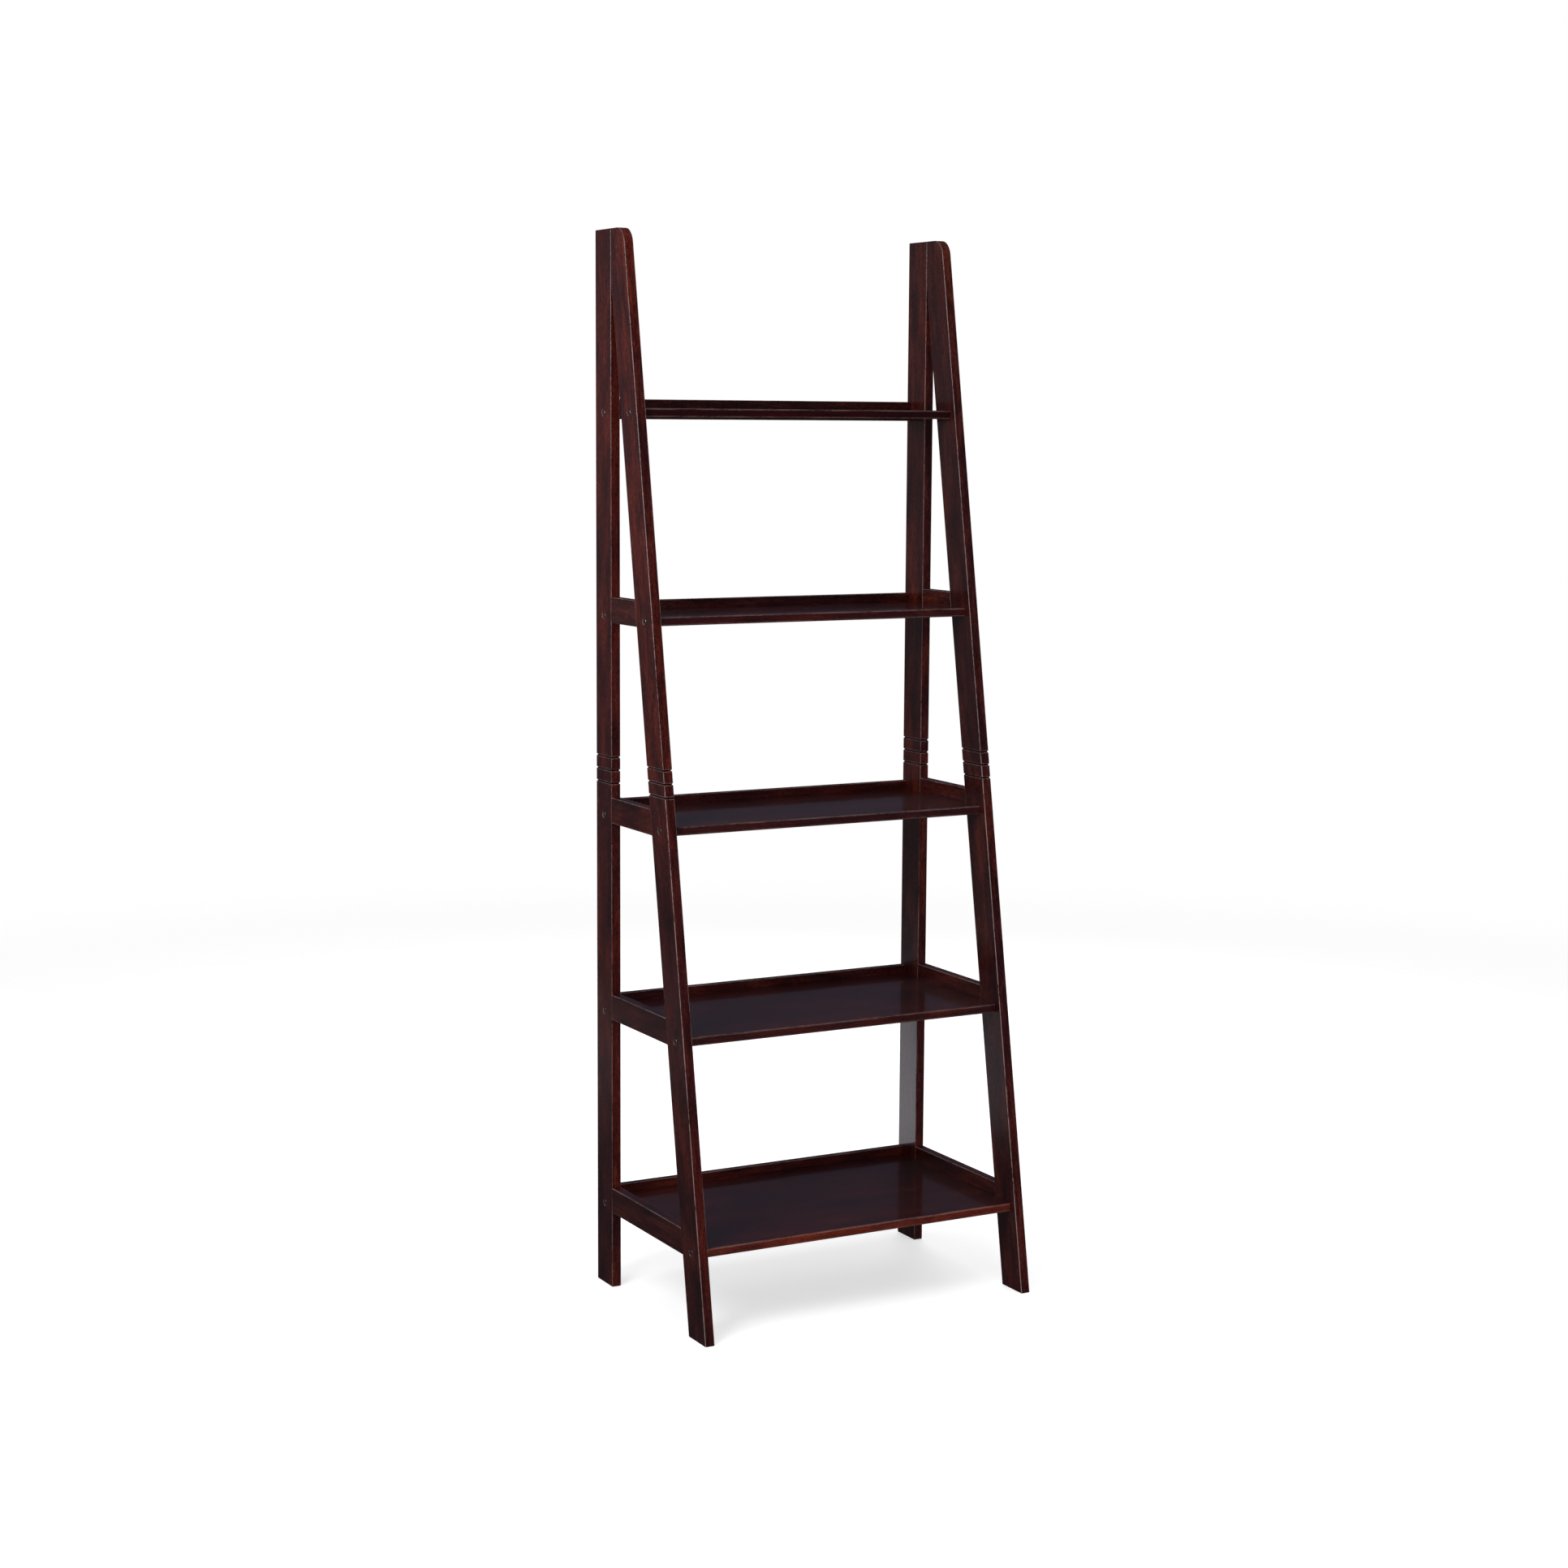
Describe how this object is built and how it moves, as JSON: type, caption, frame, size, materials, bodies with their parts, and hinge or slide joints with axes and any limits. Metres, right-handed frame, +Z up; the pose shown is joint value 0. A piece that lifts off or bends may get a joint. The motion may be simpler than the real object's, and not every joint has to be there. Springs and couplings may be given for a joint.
{
  "type": "ladder shelf",
  "caption": "Free-standing ladder shelf: open shelves between two side frames of a plumb rear leg and a slanted front leg, deepest at the bottom.",
  "frame": {"origin": "on the floor, at the middle of the footprint", "axes": "+Z up, +Y to the back, +X to the right seen from the front; the front faces -Y"},
  "size_m": [0.636, 0.424, 1.829],
  "materials": {
    "wood": "solid wood, dark cherry stain under satin lacquer",
    "shelf_wood": "solid wood, dark cherry stain under satin lacquer, glossier on the flat tops",
    "bolt_steel": "zinc-plated steel, dulled",
    "nut_steel": "zinc-plated steel",
    "dowel_wood": "bare beech"
  },
  "bodies": {
    "root": {"rear_leg_lower_left": "wood", "rear_leg_upper_left": "wood", "rear_leg_lower_right": "wood", "rear_leg_upper_right": "wood", "front_leg_lower_left": "wood", "front_leg_upper_left": "wood", "front_leg_lower_right": "wood", "front_leg_upper_right": "wood", "side_rail_1_left": "wood", "side_rail_2_left": "wood", "side_rail_3_left": "wood", "side_rail_4_left": "wood", "side_rail_1_right": "wood", "side_rail_2_right": "wood", "side_rail_3_right": "wood", "side_rail_4_right": "wood", "shelf_board_1": "shelf_wood", "shelf_board_2": "shelf_wood", "shelf_board_3": "shelf_wood", "shelf_board_4": "shelf_wood", "shelf_board_5": "shelf_wood", "back_rail_1": "wood", "back_rail_2": "wood", "back_rail_3": "wood", "back_rail_4": "wood", "back_rail_5": "wood", "shelf_bolts_1": "bolt_steel", "shelf_bolts_2": "bolt_steel", "shelf_bolts_3": "bolt_steel", "shelf_bolts_4": "bolt_steel", "shelf_bolts_5": "bolt_steel", "barrel_nuts_1": "nut_steel", "barrel_nuts_2": "nut_steel", "barrel_nuts_3": "nut_steel", "barrel_nuts_4": "nut_steel", "barrel_nuts_5": "nut_steel", "back_rail_dowels_1": "dowel_wood", "back_rail_dowels_2": "dowel_wood", "back_rail_dowels_3": "dowel_wood", "back_rail_dowels_4": "dowel_wood", "back_rail_dowels_5": "dowel_wood", "side_rail_dowels_left": "dowel_wood", "side_rail_dowels_right": "dowel_wood", "leg_joint_dowels_left": "dowel_wood", "leg_joint_dowels_right": "dowel_wood", "top_joint_dowels_left": "dowel_wood", "top_joint_dowels_right": "dowel_wood"}
  },
  "joints": []
}
